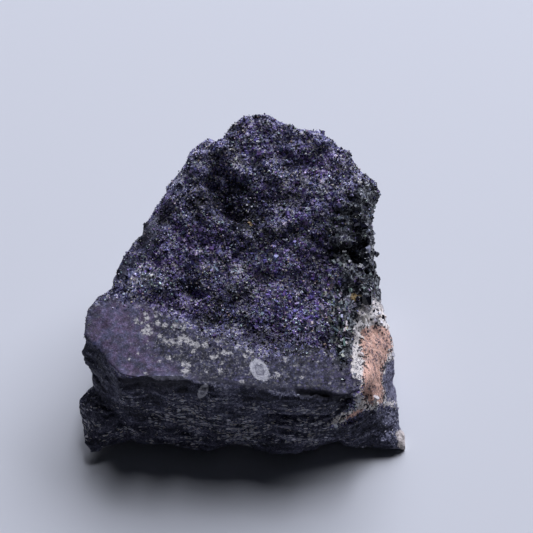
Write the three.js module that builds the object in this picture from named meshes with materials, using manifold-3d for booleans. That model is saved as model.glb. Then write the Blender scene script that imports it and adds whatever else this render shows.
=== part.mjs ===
// A hand specimen of dark purple fluorite rock: one broken, wedge-shaped stone, in millimetres.
// +X is to the right, +Y to the back, +Z up. The stone lies on its broken base at Z = 0, and the origin is
// the middle of its bounding box, on the base.
//
// The stone is made the way it broke. Blocks, each the convex hull of a few corners, are joined, and bites
// are broken out of them. The walls are split into small triangles and roughened, and the crystals that
// crust the slope are then joined on, so that everything that grew together is one solid.
import * as THREE from 'three';
import { ConvexGeometry } from 'three/addons/geometries/ConvexGeometry.js';
import { ImprovedNoise } from 'three/addons/math/ImprovedNoise.js';
import { TessellateModifier } from 'three/addons/modifiers/TessellateModifier.js';
import { mergeVertices } from 'three/addons/utils/BufferGeometryUtils.js';
import Module from 'manifold-3d';

const wasm = await Module();
wasm.setup();

// ---- driving dimensions, in mm ----
const FACET = 4.4; // longest edge of a triangle on the rough walls
const ROUGHNESS = 1.4; // how far the rough walls swell and sink
const LEDGE_ROUGHNESS = 0.4; // the same on the smooth ledge and on other flat tops
const CHIPS = { crust: 0.75, walls: 0.3, ledge: 0.05 }; // how far single chips stand out
const CRUST_FROM = 21; // the crusted part of the stone starts at this height
const LUMP = 8; // the size of the swells
const TURNING_ROUNDS = 8;
const LAYERS = { count: 6, bottom: 4.5, top: 18, depth: 0.9, thickness: 1.1, length: [10, 26] };
const FRONT = { foot: -26.6, lip: -24, lipHeight: 21 }; // the layered front leans back from foot to lip
const SUNK = 0.12; // how far a crystal's middle lies under the surface, as a share of its edge
const RIM = 0.05; // the lowest that the roughened walls reach above the flat base

// ---- the blocks, by their corners ----
const BLOCKS = {
  // The wide lower slab: the smooth ledge on top, the layered face in front, the pale break at the right.
  slab: [
    [-27.4, -2.2, 24.2], [-30.6, -5.6, 23.4], [-30.4, -12.5, 22.3], [-25.5, -19, 22], [-22.8, -21.8, 21.8],
    [-13.5, -22, 21.5], [-2, -23.2, 21], [9, -24.6, 20.4], [16, -25.4, 20], [21.8, -24.6, 19.6],
    [21, -18, 20], [21.5, -11, 20.4], [25, -5, 21], [27.6, -4.5, 20],
    [28.8, -7, 18], [29.6, -9, 15], [29.8, -12, 11], [29.4, -17, 7],
    [-29.6, -15, 14], [-29.6, -16, 10], [-28, -19, 5],
    [-22.5, -23.4, 3], [-13, -24.2, 3.2], [-2, -24.6, 3.2], [10, -26, 3], [18, -24.4, 3],
    [-28, 2, 12], [-26, 6, 4], [29, 5, 9],
    [-19, -19, 0], [-6, -20, 0], [14, -20, 0], [26, -15, 0], [27, 9, 0], [-21, 6, 0],
  ],
  // The foot under the right side, ending in the pale toe.
  foot: [
    [10, -10, 6], [18, -24.2, 9.3], [23.5, -21.3, 8.4], [27, -20, 7.6], [29.4, -17, 7.2], [30, -9, 8],
    [30.4, -17.5, 5], [32.3, -22.2, 1.2], [32, -22.8, 0.5], [28.8, -23.2, 0.6], [20.3, -24, 2],
    [29, 0, 3], [27.5, -1, 0], [29, -20, 0], [20, -19, 0], [10, -10, 0],
  ],
  // The spur at the lower left corner.
  spur: [
    [-14, -12, 5], [-26, -10, 4], [-31.9, -18.6, 8.6], [-30.6, -15.5, 10], [-25.5, -23, 11],
    [-30.8, -21.4, 4.4], [-30, -24, 2.4], [-26.4, -24, 3.6], [-23, -23.6, 3.6],
  ],
  // The hump behind, with the rough slope that faces the front.
  hump: [
    [-25.4, -0.6, 25.6], [-20.7, 6, 29.6], [-16, 13.2, 33.8], [-14, 17.4, 36.2], [-8.4, 23.8, 40.2],
    [-1.4, 28, 43.6], [4, 27, 43.7], [9.5, 24.6, 43], [15.8, 22.5, 42.5], [21.2, 19.6, 40.8],
    [25.4, 15.8, 37.6], [26, 13.4, 35], [25.4, 1, 27], [26, -3.4, 22.4],
    [-13, 6.5, 31.4], [9, 1.5, 28.8], [17, 10, 36.6],
    [-27, -5, 23.2], [-10, -5, 20.9], [2, -8, 20], [12, -12, 20], [19.5, -17, 19.6], [22, -9, 20.5],
    [2, 31, 24], [14, 28.5, 26], [-12, 26, 24], [23, 22, 22], [-20, 17, 16], [26.4, 16, 20],
    [-26, 5, 14], [28, 1, 14],
    [0, 29.5, 6], [18, 26, 5], [-15, 22, 5], [26, 17, 4],
    [0, 24, 0], [16, 21, 0], [-14, 17, 0], [26, 8, 0], [-20, 4, 0], [0, -10, 0],
  ],
};

// ---- the bites, broken out of the blocks ----
const BITES = {
  // The nick in the crest, beside its knob.
  nick: [[-9, 20, 47], [-2.6, 20, 47], [-9, 34, 47], [-2.6, 34, 47], [-4.8, 23.4, 39.4], [-4.8, 34, 28]],
  // The deep hollow under the crest.
  hollow: [
    [-13, 16, 42], [-3, 21, 44], [3, 16, 42], [1, 6, 36], [-9, 9, 38], [-5.5, 17, 31.5], [-3, 12, 29],
    [-1, 9, 28.5],
  ],
  // The recess under the tip of the ledge, over the foot.
  recess: [
    [12, -30, 17.2], [23.5, -30, 17.2], [24, -19.5, 17.4], [16, -24, 17.2],
    [17.5, -30, 9.6], [27, -30, 8.6], [25.5, -19.4, 8.6], [19, -23.8, 9.6],
  ],
  // The notch between the slab and the spur.
  notch: [[-33, -12, 12.5], [-33, -18, 12.5], [-28.8, -16, 11.2], [-33, -12, 9.8], [-33, -18, 9.8]],
  // The hollow among the coarse crystals on the right.
  pocket: [[19, 4, 36], [28, 8, 37], [29, -1, 34], [19, -3, 32], [22, 4, 25.5], [24.5, 1, 24.5]],
  // The hollows where the slope meets the ledge.
  leftHollow: [[-14, 0, 29], [-6, 2, 29], [-5, -5, 26], [-12, -6, 27], [-10, -1.5, 20.2], [-7, -2.5, 20]],
  middleHollow: [[3, -6, 26], [11, -7, 27], [12, -13, 23], [5, -11, 23], [7, -9, 17.8], [9, -10.5, 18]],
};

// ---- the crystals that crust the stone: how many, how big, and the patch of the stone they grow on ----
const CRUSTS = [
  { count: 38, edge: [1.8, 3.4], x: [18.5, 25], y: [-9, 14] }, // coarse, on the right of the slope
  { count: 58, edge: [1.4, 2.6], x: [-17, 19], y: [-4, 22] }, // over the slope
  { count: 8, edge: [1.2, 2.2], x: [-3, 20], y: [20, 26] }, // along the crest
];

const noise = new ImprovedNoise();
let draw = 22; // the seed of every random number below
const random = (low, high) => low + (high - low) * THREE.MathUtils.seededRandom(draw++);

// Noise of several sizes laid over each other, from about -1 to 1.
function fractal(p, size, shift) {
  let sum = 0;
  for (let octave = 0; octave < 3; octave++) {
    const scale = 2 ** octave / size;
    sum += 0.55 ** octave * noise.noise(p.x * scale + shift, p.y * scale + 17 * octave, p.z * scale);
  }
  return sum;
}

// ---- from three.js geometry to a manifold-3d solid, and back ----
function toSolid(geometry) {
  const bare = geometry.clone();
  for (const attribute of ['normal', 'uv']) bare.deleteAttribute(attribute);
  const merged = mergeVertices(bare, 1e-4);
  return new wasm.Manifold(new wasm.Mesh({
    numProp: 3,
    vertProperties: merged.getAttribute('position').array,
    triVerts: new Uint32Array(merged.index.array),
  }));
}

function toGeometry(solid) {
  const { vertProperties, triVerts } = solid.getMesh();
  const geometry = new THREE.BufferGeometry();
  geometry.setAttribute('position', new THREE.BufferAttribute(vertProperties, 3));
  geometry.setIndex(new THREE.BufferAttribute(triVerts, 1));
  return geometry;
}

const hull = (corners) => toSolid(new ConvexGeometry(corners.map((corner) => new THREE.Vector3(...corner))));

// ---- the layers that show on the front face, as shallow grooves along it ----
function layerGrooves() {
  return Array.from({ length: LAYERS.count }, (_, i) => {
    const height = THREE.MathUtils.lerp(LAYERS.bottom, LAYERS.top, i / (LAYERS.count - 1));
    const length = random(...LAYERS.length);
    const groove = new THREE.BoxGeometry(length, 2 * LAYERS.depth, LAYERS.thickness * random(0.7, 1.5));
    groove.rotateY(random(-0.05, 0.07)).rotateZ(-0.06);
    const wall = THREE.MathUtils.lerp(FRONT.foot, FRONT.lip, height / FRONT.lipHeight);
    return groove.translate(random(-18, 14), wall + random(-0.4, 0.3), height + random(-0.5, 0.5));
  });
}

// ---- the rough walls ----
// Turns the edge between two triangles of one flat wall where that makes the triangles less thin.
function turnThinEdges(geometry) {
  const position = geometry.getAttribute('position');
  const corners = Array.from({ length: position.count }, (_, i) =>
    new THREE.Vector3().fromBufferAttribute(position, i));
  const index = Array.from(geometry.index.array);
  const next = (k) => (k % 3 === 2 ? k - 2 : k + 1);
  const angleAt = (tip, a, b) =>
    corners[a].clone().sub(corners[tip]).angleTo(corners[b].clone().sub(corners[tip]));
  const facing = (...abc) => new THREE.Triangle(...abc.map((i) => corners[i])).getNormal(new THREE.Vector3());

  for (let round = 0; round < TURNING_ROUNDS; round++) {
    const edges = new Map(index.map((a, k) => [`${a}-${index[next(k)]}`, k]));
    const done = new Set();
    for (let k = 0; k < index.length; k++) {
      const [a, b, c] = [index[k], index[next(k)], index[next(next(k))]];
      const twin = edges.get(`${b}-${a}`);
      const d = index[next(next(twin))];
      const triangles = [Math.floor(k / 3), Math.floor(twin / 3)];
      if (triangles.some((t) => done.has(t)) || edges.has(`${c}-${d}`) || edges.has(`${d}-${c}`)) continue;
      if (angleAt(c, a, b) + angleAt(d, a, b) < Math.PI + 0.02) continue;
      if (facing(a, b, c).dot(facing(b, a, d)) < 0.9999) continue;
      index.splice(3 * triangles[0], 3, a, d, c);
      index.splice(3 * triangles[1], 3, d, b, c);
      triangles.forEach((t) => done.add(t));
    }
  }
  return geometry.clone().setIndex(index);
}

// The shortest edge at each corner, which is the room that its chip has.
function roomAround({ index, attributes: { position } }) {
  const room = new Array(position.count).fill(Infinity);
  const corner = (i) => new THREE.Vector3().fromBufferAttribute(position, i);
  for (let k = 0; k < index.count; k++) {
    const [a, b] = [index.getX(k), index.getX(k % 3 === 2 ? k - 2 : k + 1)];
    const length = corner(a).distanceTo(corner(b));
    room[a] = Math.min(room[a], length);
    room[b] = Math.min(room[b], length);
  }
  return room;
}

function roughen(geometry) {
  const split = new TessellateModifier(FACET, 12).modify(turnThinEdges(geometry));
  const fine = turnThinEdges(mergeVertices(split, 1e-4));
  fine.computeVertexNormals();
  const position = fine.getAttribute('position');
  const normal = fine.getAttribute('normal');
  const room = roomAround(fine);
  for (let i = 0; i < position.count; i++) {
    const p = new THREE.Vector3().fromBufferAttribute(position, i);
    const out = new THREE.Vector3().fromBufferAttribute(normal, i);
    const chip = random(-1, 1);
    if (p.z < RIM) continue; // the base stays flat
    const ledge = THREE.MathUtils.smoothstep(out.z, 0.8, 0.95);
    const crust = THREE.MathUtils.smoothstep(p.z, CRUST_FROM, CRUST_FROM + 3);
    const swell = new THREE.Vector3(fractal(p, LUMP, 3), fractal(p, LUMP, 71), fractal(p, LUMP, 143));
    const chips = Math.min(THREE.MathUtils.lerp(CHIPS.walls, CHIPS.crust, crust), 0.4 * room[i]);
    p.addScaledVector(swell, THREE.MathUtils.lerp(ROUGHNESS, LEDGE_ROUGHNESS, ledge));
    p.addScaledVector(out, chip * THREE.MathUtils.lerp(chips, CHIPS.ledge, ledge));
    position.setXYZ(i, p.x, p.y, Math.max(p.z, RIM));
  }
  return fine;
}

// ---- the crystals: tilted cubes, half sunk into the stone where a line from above meets it ----
function crystals(stone, { count, edge, x, y }) {
  const ground = new THREE.Mesh(stone, new THREE.MeshBasicMaterial());
  const down = new THREE.Vector3(0, 0, -1);
  return Array.from({ length: count }, () => {
    const above = new THREE.Vector3(random(...x), random(...y), 60);
    const [hit] = new THREE.Raycaster(above, down).intersectObject(ground);
    const size = random(...edge);
    const cube = new THREE.BoxGeometry(size, size * random(0.8, 1.2), size * random(0.8, 1.3));
    cube.rotateX(random(0, Math.PI)).rotateY(random(0, Math.PI)).rotateZ(random(0, Math.PI));
    return hit ? cube.translate(...hit.point.addScaledVector(hit.face.normal, -SUNK * size)) : null;
  }).filter(Boolean);
}

// ---- the stone ----
let bare = Object.values(BLOCKS).map(hull).reduce((all, block) => all.add(block));
for (const corners of Object.values(BITES)) bare = bare.subtract(hull(corners));
for (const groove of layerGrooves()) bare = bare.subtract(toSolid(groove));

const rough = roughen(toGeometry(bare));
let crusted = toSolid(rough);
for (const crust of CRUSTS) {
  for (const cube of crystals(rough, crust)) crusted = crusted.add(toSolid(cube));
}
// Bubbles that the crystals close off between them are filled, by keeping the outermost shell alone.
const [stone] = crusted.decompose().sort((a, b) => b.volume() - a.volume());

// The origin goes to the middle of the bounding box, on the base.
const stoneGeometry = toGeometry(stone);
stoneGeometry.computeBoundingBox();
const { min, max } = stoneGeometry.boundingBox;
stoneGeometry.translate(-(min.x + max.x) / 2, -(min.y + max.y) / 2, -min.z);

const darkPurple = new THREE.MeshStandardMaterial({ color: 0x2a2638, roughness: 0.55, metalness: 0 });
const specimen = new THREE.Mesh(stoneGeometry, darkPurple);
specimen.name = 'fluorite_stone';

const part = new THREE.Group();
part.add(specimen);

export default part;
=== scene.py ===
# %% [markdown]
# # A fluorite specimen
# The object is one broken piece of dark rock, about 65 mm across, with a crust of tiny
# fluorite crystals grown over its sloping top. Crystals that have grown together are one
# solid, so the whole specimen rides on the one body, and Blender only adds what is too
# fine for a solid: grain, colour and gloss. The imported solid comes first, as the frame
# that everything else is fitted to.

# %% Load the frame
import math

import bpy
import numpy as np
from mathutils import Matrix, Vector


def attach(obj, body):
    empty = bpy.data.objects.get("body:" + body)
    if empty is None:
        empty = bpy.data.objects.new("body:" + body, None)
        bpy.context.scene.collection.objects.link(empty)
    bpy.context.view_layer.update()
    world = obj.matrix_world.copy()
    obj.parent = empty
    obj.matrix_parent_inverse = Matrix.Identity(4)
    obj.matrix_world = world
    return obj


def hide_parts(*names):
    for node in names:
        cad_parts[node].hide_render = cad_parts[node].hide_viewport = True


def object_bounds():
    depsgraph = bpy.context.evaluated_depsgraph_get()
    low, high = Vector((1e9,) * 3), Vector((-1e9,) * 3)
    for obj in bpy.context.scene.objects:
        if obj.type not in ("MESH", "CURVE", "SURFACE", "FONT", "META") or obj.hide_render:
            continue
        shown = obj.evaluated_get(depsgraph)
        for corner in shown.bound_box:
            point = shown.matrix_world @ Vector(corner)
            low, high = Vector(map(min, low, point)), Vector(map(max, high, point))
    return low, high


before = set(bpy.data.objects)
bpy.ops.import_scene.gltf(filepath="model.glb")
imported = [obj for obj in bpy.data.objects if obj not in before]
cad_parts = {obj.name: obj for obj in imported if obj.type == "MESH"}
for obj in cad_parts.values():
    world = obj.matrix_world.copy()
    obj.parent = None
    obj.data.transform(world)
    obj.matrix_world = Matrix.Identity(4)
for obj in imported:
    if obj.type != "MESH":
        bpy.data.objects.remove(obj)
CAD_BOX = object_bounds()
STONE = "fluorite_stone"
MM = 0.001
print("solid's box in mm:", [[round(c / MM, 1) for c in corner] for corner in CAD_BOX])

# %% [markdown]
# # The camera
# A specimen this small is looked at from above, at arm's length, through a long lens that
# keeps its upright edges upright. The camera looks down at 50 degrees, along +Y. The
# numbers stay by name, because the patches of colour are later laid out as this view
# shows them, in columns and rows of a square of 533 dots.

# %% Set up the camera
VIEW_SIZE = 533
LENS, SENSOR = 100.0, 36.0
LOOKS_DOWN = math.radians(50)
CAMERA_DISTANCE = 296 * MM
AIM = Vector((4.77, 1.9, 23.6)) * MM

sight = Vector((0, math.cos(LOOKS_DOWN), -math.sin(LOOKS_DOWN)))
view_up = Vector((0, math.sin(LOOKS_DOWN), math.cos(LOOKS_DOWN)))
eye = AIM - sight * CAMERA_DISTANCE
bpy.ops.object.camera_add(location=eye, rotation=(math.pi / 2 - LOOKS_DOWN, 0, 0))
camera = bpy.context.object
camera.name = "studio_camera"
camera.data.lens, camera.data.sensor_width = LENS, SENSOR
camera.data.clip_start, camera.data.clip_end = 0.01, 20
bpy.context.scene.camera = camera
bpy.context.scene.view_settings.view_transform = "Standard"
print("camera stands at", [round(c / MM) for c in eye], "mm")

# %% [markdown]
# # Floor and light
# The specimen stands on plain pale paper. One large soft panel hangs behind it and to its
# right, so that the shadow falls forwards, and the dark crystals catch the panel as small
# glints. A weak even light fills the rest. A panel that is large and far away lights the
# floor evenly, which a near one wouldn't.

# %% Lay the floor and hang the light
FLOOR_SIZE = 6.0
PAPER = {"Base Color": (0.66, 0.67, 0.70, 1), "Roughness": 0.9, "Specular IOR Level": 0.05}
# Turn and rise in degrees, distance, width and height in metres, power in watts.
PANELS = {"soft_panel": (25.1, 38.2, 2.20, 2.53, 1.45, 69.0),
          "high_panel": (11.7, 61.8, 3.00, 0.40, 1.07, 25.3)}
PANEL_TINT = (0.92, 0.95, 1.08)
FILL_TINT, FILL_STRENGTH = (0.72, 0.80, 1.0, 1), 0.016

bpy.ops.mesh.primitive_plane_add(size=FLOOR_SIZE)
floor = bpy.context.object
floor.name = "floor"
paper = bpy.data.materials.new("pale_paper")
paper.use_nodes = True
for socket, value in PAPER.items():
    paper.node_tree.nodes["Principled BSDF"].inputs[socket].default_value = value
floor.data.materials.append(paper)

for name, (turn, rise, distance, wide, tall, power) in PANELS.items():
    turn, rise = math.radians(turn), math.radians(rise)
    away = Vector((math.sin(turn) * math.cos(rise), math.cos(turn) * math.cos(rise), math.sin(rise)))
    bpy.ops.object.light_add(type="AREA", location=away * distance)
    panel = bpy.context.object
    panel.name = name
    panel.rotation_euler = (-away).to_track_quat("-Z", "Y").to_euler()
    panel.data.shape = "RECTANGLE"
    panel.data.size, panel.data.size_y, panel.data.energy = wide, tall, power
    panel.data.color = PANEL_TINT
    print(name, "hangs at", [round(c, 2) for c in panel.location], "m")

world = bpy.data.worlds.new("studio")
bpy.context.scene.world = world
world.use_nodes = True
world.node_tree.nodes["Background"].inputs["Color"].default_value = FILL_TINT
world.node_tree.nodes["Background"].inputs["Strength"].default_value = FILL_STRENGTH

# %% [markdown]
# # The stone
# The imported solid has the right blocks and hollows, but in flat faces some millimetres
# wide. A copy of it is merged and remeshed into small even squares, which is what a
# sculptor would do before adding grain, because the fine relief then has points to move.
# The copy stands for the solid from here on.

# %% Helpers for picking and applying
def alone(piece):
    """Only this piece is selected and active."""
    bpy.ops.object.select_all(action="DESELECT")
    piece.select_set(True)
    bpy.context.view_layer.objects.active = piece


def apply_modifier(piece, kind, **settings):
    """Adds a modifier, sets it and makes it part of the mesh."""
    alone(piece)
    bpy.ops.object.modifier_add(type=kind)
    modifier = piece.modifiers[-1]
    for key, value in settings.items():
        setattr(modifier, key, value)
    bpy.ops.object.modifier_apply(modifier=modifier.name)


def read(piece, what="co"):
    """Places or normals of a mesh's points, one row each."""
    owner = piece.data.vertices if what == "co" else piece.data.vertex_normals
    rows = np.empty(len(owner) * 3, np.float32)
    owner.foreach_get("co" if what == "co" else "vector", rows)
    return rows.reshape(-1, 3).astype(float)


def write(piece, places):
    piece.data.vertices.foreach_set("co", places.astype(np.float32).ravel())
    piece.data.update()


# %% Copy and remesh the solid
SQUARE = 0.40 * MM

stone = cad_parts[STONE].copy()
stone.data = stone.data.copy()
stone.name = stone.data.name = "druzy_rock"
stone.parent = None
for key in list(stone.keys()):
    del stone[key]
bpy.context.scene.collection.objects.link(stone)
alone(stone)
bpy.ops.object.mode_set(mode="EDIT")
bpy.ops.mesh.select_all(action="SELECT")
bpy.ops.mesh.remove_doubles(threshold=0.002 * MM)
bpy.ops.object.mode_set(mode="OBJECT")
apply_modifier(stone, "REMESH", mode="VOXEL", voxel_size=SQUARE, use_smooth_shade=True)
print("stone has", len(stone.data.polygons), "squares,", len(stone.data.vertices), "points")

# %% [markdown]
# # Regions of the stone
# The rock isn't the same all over. Its low front corner is a smooth mauve ledge, the slope
# behind is a crust of small crystals, black and coarse at the right, the right end is
# freshly broken to a salmon core with a white rim, and the walls show thin layers. Each
# region is an outline in the camera's square of 533 dots, written as named corners, and
# a point of the stone belongs to it by how far inside the outline it appears. A point
# that faces away from the camera belongs to none, so the outlines don't print through.

# %% Measure where points appear
FOCAL_DOTS = VIEW_SIZE * LENS / SENSOR


def seen_at(places):
    """Column and row of each point in the camera's square."""
    offset = places - np.array(eye)
    depth = offset @ np.array(sight)
    column = VIEW_SIZE / 2 + FOCAL_DOTS * offset[:, 0] / depth
    row = VIEW_SIZE / 2 - FOCAL_DOTS * (offset @ np.array(view_up)) / depth
    return np.stack([column, row], 1)


def smooth(value, low, high):
    """0 at low, 1 at high, and a soft curve in between; low may be the larger number."""
    share = np.clip((value - low) / (high - low), 0, 1)
    return share * share * (3 - 2 * share)


def to_line(dots, corners, closed=True):
    """Each dot's distance from a line through the corners."""
    best = np.full(len(dots), np.inf)
    ends = corners[1:] + (corners[:1] if closed else [])
    for a, b in zip(corners, ends):
        a, run = np.array(a, float), np.array(b, float) - np.array(a, float)
        along = np.clip((dots - a) @ run / (run @ run), 0, 1)
        best = np.minimum(best, np.linalg.norm(dots - a - along[:, None] * run, axis=1))
    return best


def inside(dots, corners, soft):
    """1 well inside the outline, 0 well outside, 0.5 on it; soft is in dots."""
    odd = np.zeros(len(dots), bool)
    for (ax, ay), (bx, by) in zip(corners, corners[1:] + corners[:1]):
        spans = (ay > dots[:, 1]) != (by > dots[:, 1])
        with np.errstate(divide="ignore", invalid="ignore"):
            cross = ax + (dots[:, 1] - ay) * (bx - ax) / (by - ay)
        odd ^= spans & (dots[:, 0] < cross)
    signed = to_line(dots, corners) * np.where(odd, 1, -1)
    return np.clip(0.5 + signed / (2 * soft), 0, 1)


def patches(dots, spots):
    """Soft ovals: 1 in the middle of one, 0.5 on its outline, 0 well outside."""
    share = np.zeros(len(dots))
    for (column, row), (wide, tall) in spots:
        out = np.hypot((dots[:, 0] - column) / wide, (dots[:, 1] - row) / tall)
        share = np.maximum(share, np.clip(1.5 - out, 0, 1))
    return share


# %% [markdown]
# # The outline
# The solid's faces are a few millimetres wide, so its outline is right only to about one.
# It is drawn into shape as in sculpting: one point is gripped and moved, and the
# points around it follow, less the farther they are. Hollows that the facets made too
# deep come back out towards the eye in the same way.

# %% Pull the outline into shape
# Each pull: the dot it takes hold of, its move in dots across and down, and its reach in mm.
PULLS = [((234, 118), (3, 6), 6.5), ((256, 116), (1, -3), 4.5), ((172, 172), (5, 2), 7.0),
         ((149, 220), (5, 2), 6.0), ((122, 266), (-5, -1), 5.0), ((101, 298), (3, 2), 5.0),
         ((88, 352), (-8, 0), 4.0), ((90, 374), (-3, 0), 4.0), ((84, 397), (-4, 0), 3.0),
         ((80, 425), (1, 1), 5.0), ((320, 138), (4, -5), 7.5), ((320, 128), (0, 4), 2.5),
         ((371, 190), (9, 3), 4.5), ((382, 232), (-10, 0), 8.0), ((381, 254), (-6, 0), 4.5),
         ((388, 330), (4, 0), 7.0), ((395, 390), (4, 0), 4.0), ((403, 442), (9, 1), 4.0),
         ((224, 136), (-3, -3), 2.5), ((195, 155), (-2, 2), 3.0), ((379, 246), (-4, 0), 3.0),
         ((320, 130), (0, 4), 2.5), ((200, 139), (0, 4), 2.5), ((150, 214), (4, 0), 3.0),
         ((367, 410), (4, 3), 3.2), ((165, 188), (4, 1), 2.2), ((303, 133), (0, -4), 2.4),
         ((371, 311), (5, 0), 2.2)]
# Pulls along the floor, for the foot of the spur.
FLOOR_PULLS = [((90, 440), (0, 7), 6.5), ((86, 437), (-2, 3), 3.5)]
# Each fill: the dot it takes hold of, how far it comes out towards the eye and its reach in mm.
FILLS = [((200, 284), 3.2, 4.0), ((194, 290), 1.6, 3.4), ((208, 292), 2.2, 3.0),
         ((202, 295), 1.6, 2.4), ((283, 328), 3.4, 3.8), ((222, 194), 2.8, 3.8),
         ((236, 208), 2.0, 3.6), ((336, 399), 1.4, 2.4), ((344, 400), 1.0, 2.0),
         ((363, 409), 1.6, 2.8), ((374, 316), 1.0, 3.0)]
# One dot's width at the stone, and how near a point must appear to be gripped, in dots.
DOT = CAMERA_DISTANCE / FOCAL_DOTS
NEAR_DOTS, SLACK_DOTS = 2.5, 0.5


def nearest_seen(column, row):
    """The stone's point that appears at that dot, or next to it, and is nearest to the eye."""
    here = read(stone)
    gap = np.hypot(*(seen_at(here) - (column, row)).T)
    close = np.flatnonzero(gap < max(NEAR_DOTS, gap.min() + SLACK_DOTS))
    return int(close[np.argmin((here[close] - np.array(eye)) @ np.array(sight))])


def pull(column, row, move, reach):
    """Moves the point at that dot, and less and less the points around it."""
    grip = nearest_seen(column, row)
    bpy.ops.object.mode_set(mode="EDIT")
    bpy.ops.mesh.select_all(action="DESELECT")
    bpy.ops.object.mode_set(mode="OBJECT")
    stone.data.vertices[grip].select = True
    bpy.ops.object.mode_set(mode="EDIT")
    bpy.ops.transform.translate(value=move, use_proportional_edit=True,
                                proportional_size=reach * MM, proportional_edit_falloff="SMOOTH")
    bpy.ops.object.mode_set(mode="OBJECT")


for (column, row), (across, down), reach in PULLS:
    pull(column, row, Vector((across * DOT, 0, 0)) - view_up * (down * DOT), reach)
for (column, row), (across, down), reach in FLOOR_PULLS:
    pull(column, row, Vector((across * DOT, -down * DOT / math.sin(LOOKS_DOWN), 0)), reach)
for (column, row), out, reach in FILLS:
    pull(column, row, -sight * out * MM, reach)
print("pulled the outline in", len(PULLS), "places, and filled", len(FILLS), "hollows")

# %% Take the places and normals
places, normals = read(stone), read(stone, "normal")
dots = seen_at(places)
faces_camera = smooth(-(normals @ np.array(sight)), -0.45, -0.15)
height = places[:, 2] / MM
print("points in view:", int((faces_camera > 0.5).sum()))

# %% [markdown]
# # Where the regions lie
# The mauve ledge ends in a lip, the break has a salmon core in a white rim, and the crust has
# paler, darker and more violet places. Weights could be painted on the mesh by hand, but an
# outline of named corners can be read, moved and kept. Regions with an edge are outlined,
# and places that fade into the crust are soft ovals.

# %% Outline the ledge and the walls under it
LEDGE_EDGE = [(84, 340), (92, 343), (101, 351), (108, 363), (114, 372), (121, 377), (131, 379),
              (140, 376), (184, 376), (192, 381), (215, 382), (232, 386), (262, 389), (290, 391),
              (322, 395), (354, 398)]
ABOVE_EDGE = [(60, 334), *LEDGE_EDGE, (376, 398), (376, 250), (60, 250)]
BELOW_EDGE = [(60, 340), *LEDGE_EDGE, (344, 414), (330, 427), (350, 424), (372, 411), (384, 408),
              (404, 402), (420, 440), (414, 474), (70, 474), (60, 400)]
EDGE_SOFT = 2.5
# Each region: how soft its outline is, in dots, and the outline's corners.
OUTLINES = {
    "ledge": (16, [(70, 342), (78, 306), (104, 296), (150, 302), (200, 330), (262, 352), (330, 352),
                   (372, 362), (372, 416), (60, 416)]),
    "under_lip": (2.5, [(118, 379), (131, 381), (141, 378), (184, 378), (193, 383), (186, 391),
                        (150, 392), (124, 390)]),
    "chamfer": (4, [(80, 338), (90, 342), (100, 351), (108, 364), (114, 373), (122, 379),
                    (124, 396), (112, 406), (98, 404), (88, 392), (82, 362)]),
    "mauve": (8, [(84, 345), (98, 302), (150, 298), (158, 330), (150, 350), (196, 378), (170, 384),
                  (121, 384), (104, 370)]),
    "speckled": (9, [(124, 318), (150, 300), (176, 304), (204, 330), (236, 356), (290, 366),
                     (290, 384), (196, 384), (160, 366), (136, 342)]),
    "crack": (2, [(296, 390), (322, 392), (352, 398), (353, 402), (330, 402), (296, 394)]),
    "slot": (5, [(252, 402), (338, 402), (338, 424), (252, 424)]),
}
print("the ledge and its walls have", len(OUTLINES), "outlines")

# %% Outline the crystals and the break
OUTLINES |= {
    "hazy": (6, [(210, 136), (186, 150), (170, 170), (156, 200), (142, 228), (118, 262), (108, 286),
                 (126, 284), (142, 262), (166, 226), (178, 196), (194, 172), (214, 152)]),
    "coarse": (6, [(366, 180), (392, 184), (392, 306), (368, 312), (354, 352), (340, 384),
                   (336, 350), (337, 310), (338, 266), (324, 226), (340, 206)]),
    "needles": (5, [(322, 284), (336, 286), (346, 304), (350, 330), (340, 356), (332, 340),
                    (324, 312)]),
    "break": (5, [(360, 307), (374, 299), (386, 304), (400, 322), (408, 352), (408, 398),
                  (388, 405), (380, 404), (371, 410), (356, 410), (355, 399), (361, 392),
                  (361, 381), (352, 374), (352, 356), (355, 328)]),
    "tail": (2, [(330, 424), (341, 414), (356, 408), (376, 405), (364, 413), (348, 419),
                 (336, 426)]),
    "salmon": (4.5, [(362, 329), (376, 325), (390, 328), (394, 342), (390, 352), (384, 362),
                     (382, 378), (386, 394), (382, 404), (368, 404), (362, 394), (363, 382),
                     (364, 368), (363, 352), (360, 340)]),
    "tail_core": (3, [(341, 419), (352, 412), (368, 408), (362, 415), (348, 420)]),
    "blue_patch": (4, [(385, 364), (392, 358), (408, 364), (408, 398), (388, 400), (383, 384)]),
    "toe": (4, [(397, 428), (405, 426), (416, 446), (410, 454), (398, 444)]),
}
print("the stone has", len(OUTLINES), "outlines in all")

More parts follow.
